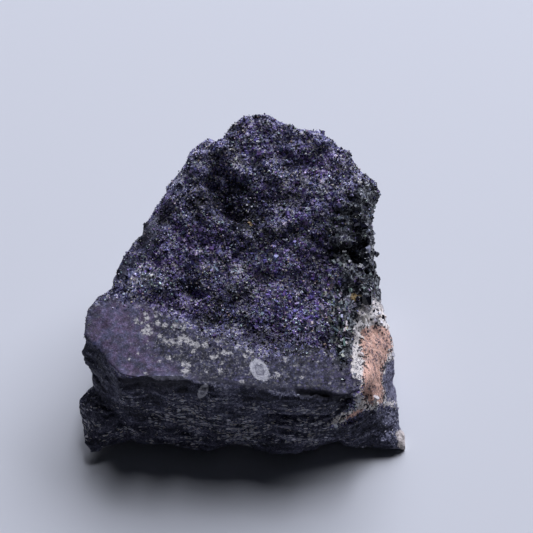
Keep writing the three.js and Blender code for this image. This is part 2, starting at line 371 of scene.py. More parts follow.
# %% Lay out places that fade into the crust
# Each place: its middle, and its half width and half height, in dots.
PATCHES = {
    # The dark places are partly darker rock and partly painted shade: in the hollows and pits of the
    # slope, where it meets the ledge, under the ledge's lip and along the bottom of the front wall.
    "dark": [((236, 198), (26, 22)), ((238, 244), (13, 7)), ((188, 284), (13, 8)),
             ((222, 312), (15, 17)), ((250, 220), (18, 10)), ((264, 204), (10, 12)),
             ((298, 163), (21, 6)), ((194, 202), (11, 10)), ((206, 232), (9, 6)),
             ((262, 306), (7, 8)), ((344, 236), (24, 26)), ((352, 284), (16, 12)),
             ((148, 240), (12, 16)), ((124, 266), (14, 12)), ((300, 350), (30, 7)),
             ((236, 128), (12, 5)), ((300, 236), (26, 6)), ((138, 418), (9, 8)),
             ((152, 385), (36, 6)), ((221, 410), (6, 4)), ((300, 399), (40, 6)),
             ((110, 414), (10, 7)), ((160, 446), (60, 6)), ((290, 448), (60, 5)),
             ((104, 356), (10, 10)), ((378, 424), (30, 18)), ((388, 434), (14, 12))],
    "pale": [((274, 256), (19, 11)), ((206, 260), (20, 11)), ((276, 296), (22, 16)),
             ((310, 314), (28, 18)), ((328, 280), (16, 12)), ((300, 280), (22, 14)),
             ((144, 272), (16, 12)), ((252, 138), (18, 10)), ((338, 292), (12, 10)),
             ((246, 164), (14, 6)), ((332, 189), (20, 7)), ((280, 209), (9, 7)),
             ((247, 268), (18, 10)), ((238, 298), (16, 18)), ((296, 272), (18, 12)),
             ((306, 324), (26, 12)), ((204, 151), (20, 12)), ((168, 184), (9, 14)),
             ((330, 312), (10, 22)), ((148, 278), (22, 12)), ((322, 216), (16, 7)),
             ((203, 425), (15, 6)), ((190, 411), (11, 7)), ((242, 433), (14, 9)),
             ((178, 446), (5, 6)), ((118, 385), (4, 8)), ((104, 375), (4, 9)),
             ((311, 421), (10, 6)), ((300, 438), (16, 6)), ((160, 415), (14, 5))],
    "violet": [((295, 290), (52, 50)), ((200, 242), (36, 26)), ((312, 160), (26, 14)),
               ((344, 376), (20, 14)), ((180, 302), (30, 12)), ((160, 205), (12, 22)),
               ((254, 132), (22, 9)), ((165, 262), (28, 16)), ((280, 190), (24, 12))],
    # The glow places are painted light, one of them on the white rim below the ledge's tip, and the
    # shade places are painted shade, mostly in the crust's hollows.
    "glow": [((274, 260), (20, 9)), ((280, 298), (20, 15)), ((312, 314), (30, 21)),
             ((344, 304), (12, 14)), ((146, 278), (18, 13)), ((338, 284), (14, 8)),
             ((206, 266), (16, 6)), ((226, 274), (15, 9)), ((204, 300), (9, 7)),
             ((344, 230), (8, 12)), ((318, 176), (14, 8)), ((360, 402), (8, 8))],
    "shade": [((243, 219), (22, 15)), ((242, 298), (13, 10)), ((290, 197), (20, 10)),
              ((202, 202), (14, 14)), ((332, 257), (24, 12)), ((220, 155), (18, 8)),
              ((204, 320), (16, 8)), ((268, 338), (38, 8)), ((142, 234), (10, 12)),
              ((218, 300), (8, 6)), ((264, 237), (16, 12)), ((284, 234), (9, 7)),
              ((262, 277), (9, 8)), ((164, 216), (8, 8)), ((322, 216), (9, 8))],
    # Painted light: the white rim is brightened where it lies in shade.
    "painted_light_on_rim": [((356, 404), (15, 16)), ((368, 322), (17, 10))],
    "ochre": [((356, 297), (6, 4)), ((345, 326), (3, 3)), ((251, 223), (2, 2)),
              ((190, 248), (2, 2)), ((223, 247), (2, 2))],
}
print({name: len(spots) for name, spots in PATCHES.items()})

# %% Lay out the pits and the ledge's white crumbs
# Each pit: its middle and its radius in dots.
PITS = [((199, 288), 17), ((276, 332), 16), ((238, 202), 16), ((110, 407), 9)]
# Each crumb: column, row and radius in dots.
WHITE_CRUMBS = [
    (173, 309, 4.5), (145, 313, 2), (147, 318, 2.5), (136, 321, 3), (142, 322, 2.5), (147, 326, 3),
    (148, 331, 5), (144, 332, 3.5), (156, 316, 2), (161, 315, 2), (158, 323, 3), (165, 325, 3),
    (175, 325, 3), (178, 315, 2.5), (183, 320, 3), (184, 327, 4), (190, 327, 2), (171, 342, 4),
    (166, 341, 3), (160, 336, 2.5), (181, 338, 4), (186, 339, 4), (179, 344, 3), (192, 343, 3.5),
    (197, 345, 3.5), (193, 351, 3), (205, 345, 3), (203, 333, 2.5), (208, 328, 3), (225, 333, 3),
    (197, 337, 2), (218, 342, 2), (184, 364, 3), (188, 366, 3), (185, 371, 4), (159, 361, 2),
    (169, 358, 2.5), (138, 353, 1.5), (129, 359, 2), (213, 357, 3), (218, 356, 2), (220, 371, 3),
    (222, 363, 2.5), (224, 352, 3), (230, 353, 3), (238, 346, 2.5), (247, 350, 2.5), (246, 356, 3),
    (252, 352, 2), (264, 356, 2), (273, 348, 3), (285, 359, 3.5), (277, 375, 3), (271, 378, 2),
    (248, 374, 2), (242, 382, 3), (146, 374, 2.5), (206, 371, 2), (194, 303, 3.5), (147, 289, 3),
    (310, 352, 2), (296, 366, 2), (318, 362, 1.5), (302, 378, 2), (330, 383, 1.5), (163, 294, 2)]
print(len(PITS), "pits and", len(WHITE_CRUMBS), "crumbs")

# %% Measure how far each point belongs to each region
# How much of a normal points up on the ledge and on a wall, heights in mm, and bands in dots.
LEVEL, STEEP = (0.2, 0.5), (0.55, 0.15)
WALLS_END, BASE_ENDS = (25, 19), (0.8, 0.3)
PIT_FADES, CALM_BAND = (1, 1.9), (7, 20)

region = {name: inside(dots, corners, soft) for name, (soft, corners) in OUTLINES.items()}
region |= {name: patches(dots, spots) for name, spots in PATCHES.items()}
region["crumbs"] = patches(dots, [((column, row), (size, size)) for column, row, size in WHITE_CRUMBS])
region["ledge"] = region["ledge"] * inside(dots, ABOVE_EDGE, EDGE_SOFT) * smooth(normals[:, 2], *LEVEL)
region["break"] = np.maximum(region["break"], region.pop("tail"))
region["salmon"] = np.maximum(region["salmon"], region.pop("tail_core"))
from_pit = np.min([np.hypot(*(dots - pit).T) / size for pit, size in PITS], 0)
region["pit"] = 1 - smooth(from_pit, *PIT_FADES)
for name in region:
    region[name] = region[name] * faces_camera
region["behind"] = 1 - faces_camera
far_walls = smooth(normals[:, 2], *STEEP) * smooth(height, *WALLS_END) * (1 - faces_camera)
near_walls = inside(dots, BELOW_EDGE, EDGE_SOFT) * faces_camera
region["layered"] = (far_walls + near_walls) * (1 - smooth(region["break"], 0.3, 0.7))
region["base"] = smooth(height, *BASE_ENDS)
from_edge = to_line(dots, LEDGE_EDGE, closed=False)
region["calm"] = near_walls * (1 - smooth(from_edge, *CALM_BAND))
for name, share in region.items():
    print(f"{name}: {share.sum() * (SQUARE / MM) ** 2:.0f} mm2")

# %% [markdown]
# # Relief of the stone
# The faceted solid first loses its straight edges, most on the crystal slope and least
# along the ledge. The crust then gets lumps of a few millimetres and grains of about one,
# and the walls get thin shelves, as rock that was laid down in layers has. Each step is a
# Displace modifier, held to its region by a vertex group. Its pattern is squashed where
# needed by an empty that lends its own axes, and that is deleted afterwards. Points move
# along their normals, except for the recess under the ledge's lip, which is pushed straight
# back, because sinking rock that faces down would push it up through the ledge.

# %% Helpers for masks and relief
MASK_STEPS = 20


def paint(piece, name, share):
    """A vertex group with these weights, in steps."""
    group = piece.vertex_groups.new(name=name)
    steps = np.round(np.clip(share, 0, 1) * MASK_STEPS)
    for step in range(1, MASK_STEPS + 1):
        members = np.flatnonzero(steps == step)
        if len(members):
            group.add(members.tolist(), step / MASK_STEPS, "REPLACE")


def relief(piece, pattern, size, depth, mask, squash=(1, 1, 1), level=0.5, way="NORMAL",
           **settings):
    """Moves points, along their normals or an axis, by a pattern; size and depth are in mm.

    Where the pattern has the value of the level, points stay where they are.
    """
    texture = bpy.data.textures.new("relief", pattern)
    texture.noise_scale = 1.0
    for key, value in settings.items():
        setattr(texture, key, value)
    bpy.ops.object.empty_add()
    ruler = bpy.context.object
    ruler.scale = [size * MM * s for s in squash]
    bpy.context.view_layer.update()
    apply_modifier(piece, "DISPLACE", texture=texture, strength=depth * MM, mid_level=level,
                   direction=way, vertex_group=mask, texture_coords="OBJECT",
                   texture_coords_object=ruler)
    bpy.data.objects.remove(ruler)
    bpy.data.textures.remove(texture)


# %% Paint the masks
free = 1 - region["base"]
head_on = smooth(np.abs(normals @ np.array(sight)), 0.05, 0.45)
crust = free * (1 - region["ledge"]) * (1 - region["layered"]) * (0.4 + 0.6 * head_on)
crust *= 1 - 0.35 * region["glow"]
MASKS = {
    "soften": free * (1 - 0.8 * region["ledge"]) * (1 - 0.85 * region["layered"]),
    "crust": crust * (1 - 0.6 * region["break"]),
    "flatter": free * region["glow"] * (1 - region["coarse"]) * (1 - region["break"]),
    "slot": region["slot"],
    "all": free,
}
for name in ("layered", "pit", "crack", "coarse", "under_lip", "break"):
    MASKS[name] = free * region[name]
for name, share in MASKS.items():
    paint(stone, name, share)
print("masks:", ", ".join(stone.vertex_groups.keys()))

# %% Soften, then roughen
# Each mask: how strongly the stone is smoothed there, and how many times.
SMOOTHED = {"soften": (0.6, 9), "pit": (0.9, 90), "flatter": (0.9, 150), "break": (0.9, 40),
            "slot": (0.8, 24)}
# Grains as cell patterns: the size and depth of a grain in mm, and its mask.
GRAINY = [(3.0, -0.38, "crust"), (1.3, -0.22, "crust"), (1.7, -0.35, "break"),
          (1.9, -0.8, "coarse"), (0.9, -0.4, "coarse")]
# Thin shelves and chips on the walls: a pattern is wide along them and low across them.
SHELVES, WALL_CHIPS = (2.6, 2.6, 0.42), (2.2, 2.2, 0.5)

for mask, (strength, rounds) in SMOOTHED.items():
    apply_modifier(stone, "SMOOTH", factor=strength, iterations=rounds, vertex_group=mask)
relief(stone, "CLOUDS", size=4.0, depth=0.75, mask="crust", noise_depth=2)
for size, depth, mask in GRAINY:
    relief(stone, "VORONOI", size, depth, mask, level=0.4)
relief(stone, "CLOUDS", size=2.6, depth=1.0, mask="layered", squash=SHELVES, noise_depth=3)
relief(stone, "VORONOI", size=1.0, depth=-0.6, mask="layered", squash=WALL_CHIPS, level=0.4)
relief(stone, "CLOUDS", size=9.0, depth=1.6, mask="under_lip", level=-0.2, way="Y")
relief(stone, "CLOUDS", size=9.0, depth=-1.8, mask="crack", level=-0.2)
relief(stone, "CLOUDS", size=0.6, depth=0.10, mask="all", noise_depth=1)
moved = read(stone)
print("points moved by up to", round(np.linalg.norm(moved - places, axis=1).max() / MM, 1), "mm")

# %% Keep the resting face flat and the stone inside its solid's box
LOW, HIGH = (np.array(corner) for corner in CAD_BOX)
CREST_SINKS, FOOT_SPREADS = 0.5 * MM, 0.6 * MM
# The heights between which the crest and the foot begin, in mm.
CREST_BEGINS, FOOT_BEGINS = (26, 42), (12, 4)

moved[:, 2] -= CREST_SINKS * smooth(height, *CREST_BEGINS)
moved[:, 1] -= FOOT_SPREADS * smooth(height, *FOOT_BEGINS) * (moved[:, 1] < 0)
resting = region["base"] > 0.5
moved[resting, 2] = 0
write(stone, np.clip(moved, LOW, HIGH))
places, normals = read(stone), read(stone, "normal")
stone.vertex_groups.clear()
print("resting face:", int(resting.sum() * (SQUARE / MM) ** 2), "mm2")

# %% [markdown]
# # The stone's finish
# A finish can only vary over the stone by what the stone tells it, so each region becomes
# a float attribute on the mesh. The rest is patterns on Object coordinates, in
# millimetres. Cell patterns make grains: each cell has one random colour, which also tilts
# the shading normal, so that neighbouring grains catch the light apart from each other.
# Noise breaks up the outlines, which would look drawn otherwise.

# %% Hand the regions to the mesh
def tell(piece, name, values):
    """A float attribute, one value for each point."""
    attribute = piece.data.attributes.new(name, "FLOAT", "POINT")
    attribute.data.foreach_set("value", values.astype(np.float32))


# Each oval: its middle, its half width and half height in dots, and its turn in degrees.
OVALS = [((259.5, 370), (8.6, 13.0), -35), ((203, 391), (4.5, 8.5), 30),
         ((148, 277), (9.5, 5.5), -14), ((110, 271), (5.0, 5.0), 0)]
# What points away from all ovals are told, and where the lip fades, in dots.
FAR_OFF = 3.0
LIP_BAND = (1, 7)
TOLD = ("ledge", "mauve", "speckled", "violet", "break", "salmon", "blue_patch", "dark", "pale",
        "coarse", "layered", "lip", "crack", "toe", "ochre", "under_lip", "chamfer", "crumbs",
        "hazy", "glow", "shade", "painted_light_on_rim", "behind", "calm")

dots = seen_at(places)
oval = np.full(len(dots), FAR_OFF)
for (column, row), (half_width, half_height), turn in OVALS:
    turn = math.radians(turn)
    across, down = dots[:, 0] - column, dots[:, 1] - row
    u = (across * math.cos(turn) + down * math.sin(turn)) / half_width
    v = (down * math.cos(turn) - across * math.sin(turn)) / half_height
    oval = np.minimum(oval, np.where(faces_camera > 0.5, np.hypot(u, v), FAR_OFF))
from_edge = to_line(dots, LEDGE_EDGE, closed=False)
region["lip"] = (1 - smooth(from_edge, *LIP_BAND)) * faces_camera
for name in TOLD:
    tell(stone, name, region[name])
tell(stone, "oval", oval)
print("the mesh carries", len(TOLD) + 1, "attributes")


# %% A helper that writes materials
class Finish:
    """One material under construction, with a call for each kind of node."""

    def __init__(self, name, **gloss):
        self.material = bpy.data.materials.new(name)
        self.material.use_nodes = True
        self.tree = self.material.node_tree
        self.skin = self.tree.nodes["Principled BSDF"]
        for socket, value in gloss.items():
            self.skin.inputs[socket.replace("_", " ")].default_value = value
        self.mm = self.scaled(self.put("ShaderNodeTexCoord").outputs["Object"], 1 / MM)

    def put(self, kind, inputs=None, **settings):
        """A node of that kind, with its inputs linked or set."""
        node = self.tree.nodes.new(kind)
        for key, value in settings.items():
            setattr(node, key, value)
        for socket, value in (inputs or {}).items():
            self.feed(node.inputs[socket], value)
        return node

    def feed(self, socket, value):
        if isinstance(value, bpy.types.NodeSocket):
            self.tree.links.new(value, socket)
        else:
            socket.default_value = value

    def told(self, name):
        """The number that the mesh tells at each point by that name."""
        return self.put("ShaderNodeAttribute", attribute_name=name).outputs["Fac"]

    def calc(self, operation, a, b=0.0, c=0.0, clamp=False):
        return self.put("ShaderNodeMath", {0: a, 1: b, 2: c}, operation=operation,
                        use_clamp=clamp).outputs[0]

    def add(self, a, b):
        return self.calc("ADD", a, b)

    def less(self, a, b):
        return self.calc("SUBTRACT", a, b)

    def by(self, a, b):
        return self.calc("MULTIPLY", a, b)

    def line(self, value, slope, start):
        """value * slope + start"""
        return self.calc("MULTIPLY_ADD", value, slope, start)

    def vector(self, operation, a, b=(0, 0, 0)):
        return self.put("ShaderNodeVectorMath", {0: a, 1: b}, operation=operation).outputs[0]

    def scaled(self, vector, by):
        return self.put("ShaderNodeVectorMath", {0: vector, "Scale": by},
                        operation="SCALE").outputs[0]

    def noise(self, per_mm, detail=2.0, at=None, output=0, rough=0.5):
        return self.put("ShaderNodeTexNoise", {
            "Vector": at or self.mm, "Scale": per_mm, "Detail": detail,
            "Roughness": rough}).outputs[output]

    def swing(self, reach, per_mm, detail=2.0, rough=0.5):
        """Noise that swings by half its reach to either side of 0."""
        return self.line(self.noise(per_mm, detail, rough=rough), reach, -reach / 2)

    def warped(self, jitter, per_mm, detail=2.0, start=None):
        """The place in mm, moved about by noise, so that the edges of a pattern wander."""
        away = self.scaled(self.noise(per_mm, detail, output=1), jitter)
        return self.vector("ADD", start or self.mm, away)

    def cells(self, per_mm, at=None, feature="F1"):
        """Distance to the nearest cell's middle, and three random numbers of the cell."""
        node = self.put("ShaderNodeTexVoronoi", {
            "Vector": at or self.mm, "Scale": per_mm}, feature=feature)
        if feature == "DISTANCE_TO_EDGE":
            return node.outputs["Distance"], None, None
        split = self.put("ShaderNodeSeparateColor", {0: node.outputs["Color"]})
        return node.outputs["Distance"], split.outputs, node.outputs["Color"]

    def between(self, value, low, high):
        """0 at low, 1 at high, smooth in between."""
        return self.put("ShaderNodeMapRange", {0: value, 1: low, 2: high, 3: 0.0, 4: 1.0},
                        interpolation_type="SMOOTHSTEP").outputs[0]

    def frayed(self, name, noise, low, high):
        """A region's share, with its outline broken up by noise."""
        return self.between(self.add(self.told(name), noise), low, high)

    def mix(self, share, a, b):
        """a where the share is 0, b where it is 1."""
        return self.put("ShaderNodeMix", {0: share, 6: a, 7: b},
                        data_type="RGBA").outputs[2]

    def ramp(self, value, stops):
        """A tint for the value; each stop is a place from 0 to 1 and the tint there."""
        node = self.put("ShaderNodeValToRGB", {0: value})
        marks = node.color_ramp.elements
        while len(marks) < len(stops):
            marks.new(0.5)
        for mark, (position, parts) in zip(marks, stops):
            mark.position = position
            mark.color = (*parts, 1)
        return node.outputs[0]


def tint(*parts):
    return (*parts, 1)


# %% [markdown]
# # Crust
# The crust is a mass of crystals, from a fifth of a millimetre to nearly one across, most
# of them black or navy, some violet and a few pale. One colour ramp would give every dark
# grain the same hue, so three ramps, for cool, warm and purple grains, are read by one
# shared value and blended by region and by chance.

# %% Pick a value for each grain
GRAINS_PER_MM, FINE_PER_MM, LUMPS_PER_MM = 2.4, 5.4, 1.35

rock = Finish("dark_fluorite", IOR=1.43, Specular_IOR_Level=0.30)
warp = rock.warped(0.5, 1.3)
_, grain, grain_color = rock.cells(GRAINS_PER_MM, at=warp)
_, fine, fine_color = rock.cells(FINE_PER_MM, at=warp)
_, lump, _ = rock.cells(LUMPS_PER_MM, at=warp)
cloud = rock.noise(0.22, 3.0)
mottle = rock.noise(0.8, 3.0)

pick = rock.line(grain[0], 0.66, rock.line(fine[0], 0.52, -0.09))
pick = rock.line(lump[0], 0.20, rock.add(pick, -0.10))
pick = rock.add(pick, rock.line(mottle, 0.6, -0.29))
blotch = rock.swing(1.8, 0.55, 5.0, rough=0.6)
bleached = rock.frayed("pale", blotch, 0.15, 1.1)
# The dark places darken the crust: partly darker rock, partly painted shade in its hollows and pits.
gloomy = rock.frayed("dark", blotch, 0.15, 1.1)
pick = rock.add(pick, rock.by(bleached, 0.12))
pick = rock.add(pick, rock.by(gloomy, -0.42))
print("nodes that pick a grain's value:", len(rock.tree.nodes))

# %% Tint the grains
dark = rock.ramp(pick, [(0.0, (0.008, 0.009, 0.016)), (0.28, (0.024, 0.028, 0.055)),
                        (0.50, (0.072, 0.086, 0.175)), (0.74, (0.18, 0.21, 0.36)),
                        (0.90, (0.36, 0.39, 0.52)), (1.0, (0.60, 0.60, 0.66))])
warm = rock.ramp(pick, [(0.0, (0.009, 0.009, 0.011)), (0.28, (0.032, 0.031, 0.036)),
                        (0.50, (0.104, 0.100, 0.106)), (0.74, (0.25, 0.24, 0.23)),
                        (0.90, (0.46, 0.43, 0.39)), (1.0, (0.68, 0.64, 0.58))])
purple = rock.ramp(pick, [(0.0, (0.013, 0.009, 0.028)), (0.26, (0.058, 0.038, 0.125)),
                          (0.50, (0.165, 0.110, 0.34)), (0.74, (0.31, 0.225, 0.56)),
                          (0.90, (0.44, 0.36, 0.64)), (1.0, (0.60, 0.55, 0.70))])
warmth = rock.line(grain[1], 0.55, rock.by(fine[2], 0.45))
warmth = rock.add(warmth, rock.swing(1.2, 0.45, 4.0))
share = rock.line(rock.told("violet"), 0.85, 0.18)
share = rock.by(share, rock.between(cloud, 0.30, 0.60))
share = rock.by(share, rock.line(gloomy, -0.8, 1.0))
share = rock.calc("ADD", share, rock.by(fine[1], 0.35), clamp=True)
color = rock.mix(share, dark, purple)
color = rock.mix(rock.between(warmth, 0.50, 0.72), color, warm)
haze = rock.frayed("hazy", rock.by(blotch, 0.7), 0.25, 0.95)
hazy = rock.ramp(mottle, [(0.35, (0.050, 0.050, 0.080)), (0.65, (0.150, 0.150, 0.215))])
color = rock.mix(rock.by(haze, 0.5), color, hazy)
color = rock.scaled(color, rock.line(bleached, 0.75, 1.22))
print("with the crust's colours:", len(rock.tree.nodes))

# %% Pale grey lines between the coarse black crystals
SEAM_GREY = tint(0.34, 0.36, 0.38)

black_pick = rock.line(rock.told("violet"), 0.10, pick)
black = rock.ramp(black_pick, [(0.0, (0.010, 0.010, 0.014)), (0.50, (0.036, 0.036, 0.048)),
                               (0.80, (0.12, 0.125, 0.14)), (1.0, (0.36, 0.37, 0.40))])
seam, _, _ = rock.cells(0.8, at=rock.warped(0.9, 0.9), feature="DISTANCE_TO_EDGE")
seam = rock.by(rock.between(seam, 0.08, 0.02), rock.between(mottle, 0.40, 0.55))
black = rock.mix(rock.by(seam, 0.8), black, SEAM_GREY)
color = rock.mix(rock.frayed("coarse", blotch, 0.3, 0.7), color, black)
print("with the coarse crystals:", len(rock.tree.nodes))

# %% [markdown]
# # Layers of the walls
# The walls under the ledge show the rock's thin layers edge on: nearly black bands, with
# crisp white and cream flecks lying along them, and standing upright on the chamfered
# corner. A band or a fleck is a noise or a cell pattern whose place is stretched along the
# layers first. The flecks come in swarms, which a slow noise switches on and off.

# %% Stretch the flecks along the layers
ALONG, DOWN = (0.62, 0.62, 2.7), (2.2, 2.2, 0.36)
BANDED = (0.20, 0.20, 1.3)

sag = rock.warped(3.5, 0.09)
# The pale and dark places also set how many flecks the walls get and how light their bands are; the
# dark ones there include painted shade under the lip and along the bottom.
spread = rock.line(rock.told("pale"), 0.40, rock.by(rock.told("dark"), -0.40))
spread = rock.line(rock.told("calm"), -0.30, spread)
swarm = rock.line(rock.noise(0.42, 3.0, rough=0.6), 2.3, -1.76)
swarm = rock.calc("MINIMUM", rock.add(swarm, spread), -0.36)


def flecked(stretch, per_mm, size, least):
    """Crisp pale flecks, stretched along the layers, where the swarm allows them."""
    bent = rock.warped(0.12, 1.6, start=sag)
    far, lot, _ = rock.cells(per_mm, at=rock.vector("MULTIPLY", bent, stretch))
    limit = rock.line(lot[0], size, swarm)
    shown = rock.between(rock.less(limit, far), -0.03, 0.07)
    bright = rock.calc("POWER", lot[1], 1.6)
    return rock.by(shown, rock.line(bright, 1 - least, least))


shards = rock.calc("MAXIMUM", flecked(ALONG, 1.9, 1.25, 0.25), flecked(ALONG, 1.15, 0.80, 0.15))
shards = rock.mix(rock.told("chamfer"), shards, rock.by(flecked(DOWN, 1.1, 0.9, 0.1), 0.45))
print("with the flecks:", len(rock.tree.nodes))

# %% Tint the layers
COOL_FLECK, WARM_FLECK = tint(0.80, 0.86, 1.0), tint(0.98, 0.86, 0.74)
LIP_SHADOW = tint(0.030, 0.029, 0.038)

bands = rock.noise(0.8, 5.0, at=rock.vector("MULTIPLY", sag, BANDED), rough=0.65)
bands = rock.add(bands, rock.swing(0.4, 0.25))
bands = rock.add(bands, rock.by(spread, 0.12))
bands = rock.line(grain[1], 0.22, rock.line(fine[1], 0.30, bands))
layer = rock.ramp(bands, [(0.46, (0.006, 0.006, 0.010)), (0.72, (0.036, 0.038, 0.064)),
                          (0.90, (0.11, 0.11, 0.17)), (1.0, (0.26, 0.26, 0.34))])
layer = rock.mix(shards, layer, rock.mix(rock.between(fine[2], 0.35, 0.65), COOL_FLECK, WARM_FLECK))
# Painted shadow in the recess under the ledge's lip.
layer = rock.mix(rock.by(rock.told("under_lip"), 0.75), layer, LIP_SHADOW)
layered = rock.told("layered")
color = rock.mix(layered, color, layer)
print("with the layers:", len(rock.tree.nodes))

# %% [markdown]
# # Ledge
# The ledge is a smooth broken face, mauve at its left end and dark grey along the rest,
# with dabs, soot, white crumbs and powder on it, and its lip carries a faint painted
# highlight and, where the ledge isn't mauve, painted shade. All of this is flat colour,
# because nothing on the ledge stands up enough to cast a shadow, and grains of real
# relief would spoil its smooth sheen. Each mark is a mask of its own, laid over the last.

# %% Mauve and grey of the ledge
breakup = rock.swing(0.9, 1.1, 4.0)
ledge_edge = rock.frayed("ledge", breakup, 0.30, 0.80)
dust = rock.noise(3.0, 3.0, rough=0.7)
patchy = rock.swing(1.3, 0.75, 4.0, rough=0.65)
dusty = rock.add(rock.line(dust, 0.60, 0.20), patchy)
grey = rock.ramp(dusty, [(0.28, (0.007, 0.007, 0.013)), (0.48, (0.019, 0.019, 0.033)),
                         (0.66, (0.044, 0.043, 0.070)), (0.90, (0.18, 0.18, 0.23))])
pinkish = rock.ramp(dusty, [(0.20, (0.034, 0.025, 0.044)), (0.48, (0.086, 0.061, 0.110)),
                            (0.68, (0.156, 0.111, 0.206)), (0.92, (0.33, 0.27, 0.41))])
bluish_haze = rock.ramp(dusty, [(0.20, (0.025, 0.025, 0.044)), (0.48, (0.062, 0.062, 0.104)),
                                (0.68, (0.118, 0.113, 0.205)), (0.92, (0.29, 0.29, 0.44))])
mauve = rock.mix(rock.between(rock.noise(0.5, 4.0, rough=0.7), 0.40, 0.62), pinkish, bluish_haze)
grey = rock.mix(0.14, grey, color)
flat = rock.mix(rock.frayed("mauve", breakup, 0.15, 0.95), grey, mauve)
print("with the ledge's ground:", len(rock.tree.nodes))

# %% Dabs and soot on the ledge
VIOLET_DAB, GREY_DAB = tint(0.19, 0.17, 0.34), tint(0.27, 0.26, 0.25)
SOOT, SMUDGE = tint(0.012, 0.012, 0.020), tint(0.014, 0.014, 0.024)

dab_far, dab, _ = rock.cells(1.5, at=rock.warped(0.8, 1.2, 4.0))
dabs = rock.by(rock.between(dab[0], 0.35, 1.0), rock.between(dab_far, 0.58, 0.22))
dabs = rock.by(dabs, rock.line(rock.told("mauve"), -0.75, 1.0))
dab_tint = rock.mix(rock.between(dab[2], 0.4, 0.6), VIOLET_DAB, GREY_DAB)
flat = rock.mix(rock.by(dabs, 0.62), flat, dab_tint)
soot = rock.by(rock.between(dab[1], 0.45, 0.9), rock.between(dab_far, 0.62, 0.30))
soot = rock.by(soot, rock.line(rock.told("mauve"), -0.7, 0.9))
flat = rock.mix(soot, flat, SOOT)
smudge = rock.between(rock.noise(0.9, 5.0, rough=0.65), 0.52, 0.62)
smudge = rock.by(smudge, rock.by(rock.told("speckled"), 0.7))
flat = rock.mix(smudge, flat, SMUDGE)
print("with dabs and soot:", len(rock.tree.nodes))

# %% White crumbs, powder, and painted highlight and shade on the lip
LIP_HIGHLIGHT, LIP_SHADE = tint(0.24, 0.23, 0.34), tint(0.022, 0.022, 0.034)

powder_far, powder, _ = rock.cells(2.0, at=rock.warped(1.2, 1.6, 4.0))
speckled = rock.add(rock.told("speckled"), patchy)
reach = rock.line(speckled, 0.24, rock.by(powder[0], 0.50))
powdered = rock.between(rock.less(rock.less(reach, 0.27), powder_far), -0.08, 0.20)
ragged_fine = rock.line(rock.noise(2.1, 5.0, rough=0.70), 3.8, -1.95)
crumbs = rock.frayed("crumbs", ragged_fine, 0.38, 0.95)
cream = rock.ramp(rock.noise(1.7, 4.0, rough=0.65), [
    (0.34, (0.14, 0.14, 0.17)), (0.58, (0.70, 0.67, 0.65))])
flat = rock.mix(rock.by(powdered, 0.36), flat, cream)
flat = rock.mix(rock.by(crumbs, 0.88), flat, cream)
# Painted highlight along the lip, and painted shade along it where the ledge isn't mauve, which also
# darkens the crust's colour there.
flat = rock.mix(rock.by(rock.told("lip"), 0.12), flat, LIP_HIGHLIGHT)
shaded_lip = rock.by(rock.told("lip"), rock.line(rock.told("mauve"), -0.6, 0.6))
flat = rock.mix(shaded_lip, flat, LIP_SHADE)
color = rock.mix(ledge_edge, color, flat)
color = rock.mix(rock.by(shaded_lip, 0.8), color, LIP_SHADE)
print("with the whole ledge:", len(rock.tree.nodes))

# %% [markdown]
# # Painted light and shade, and ovals
# Some parts of the crust are lightened with painted light and others darkened with painted
# shade, and the faces turned away from the camera are darkened too, by scaling the colour,
# which is then held under a ceiling. A few pale ovals with a darker ring mark the ledge and
# the slope's left end. Their attribute says how far out each point lies, so one ramp draws
# middle, ring and edge.

# %% Painted light and shade
BRIGHTEST = (0.66, 0.64, 0.74)

glow = rock.frayed("glow", blotch, 0.1, 1.1)
shade = rock.frayed("shade", blotch, 0.1, 1.1)
lit = rock.line(glow, 2.1, rock.line(shade, -0.72, 1.0))
lit = rock.by(lit, rock.line(rock.told("behind"), -0.48, 1.0))
color = rock.vector("MINIMUM", rock.scaled(color, lit), BRIGHTEST)
print("with light and shade:", len(rock.tree.nodes))

# %% Ringed ovals
far_out = rock.line(rock.noise(1.8, 3.0), 0.44, rock.add(rock.told("oval"), -0.22))
ring = rock.ramp(far_out, [(0.10, (0.40, 0.40, 0.44)), (0.34, (0.30, 0.30, 0.35)),
                           (0.44, (0.16, 0.16, 0.20)), (0.56, (0.42, 0.42, 0.47)),
                           (0.90, (0.50, 0.50, 0.54))])
grit = rock.ramp(dust, [(0.35, (0.62, 0.62, 0.66)), (0.60, (1.15, 1.13, 1.10))])
color = rock.mix(rock.between(far_out, 1.04, 0.88), color, rock.vector("MULTIPLY", ring, grit))
print("with the ovals:", len(rock.tree.nodes))

# %% [markdown]
# # Break
# The right end is freshly broken: a salmon core in a rim of chalky white, with a bluish
# patch low down, grey veins, and black chips of the crust that cling to the rim. The parts
# are told apart by their outlines, frayed by noise, and the chips are cells that shrink
# to nothing away from the edge of the core.

# %% Salmon core and white rim
PAINTED_LIGHT_WHITE, VEIN_GREY = tint(0.98, 0.93, 0.90), tint(0.09, 0.08, 0.12)

ragged = rock.swing(1.8, 1.2, 6.0, rough=0.65)
in_break = rock.frayed("break", ragged, 0.42, 0.58)
in_salmon = rock.frayed("salmon", ragged, 0.40, 0.60)
in_patch = rock.frayed("blue_patch", ragged, 0.42, 0.58)
chalk = rock.ramp(rock.noise(1.3, 5.0, rough=0.60), [
    (0.32, (0.20, 0.20, 0.25)), (0.38, (0.62, 0.58, 0.56)), (0.48, (0.82, 0.76, 0.72)),
    (0.60, (0.97, 0.90, 0.85))])
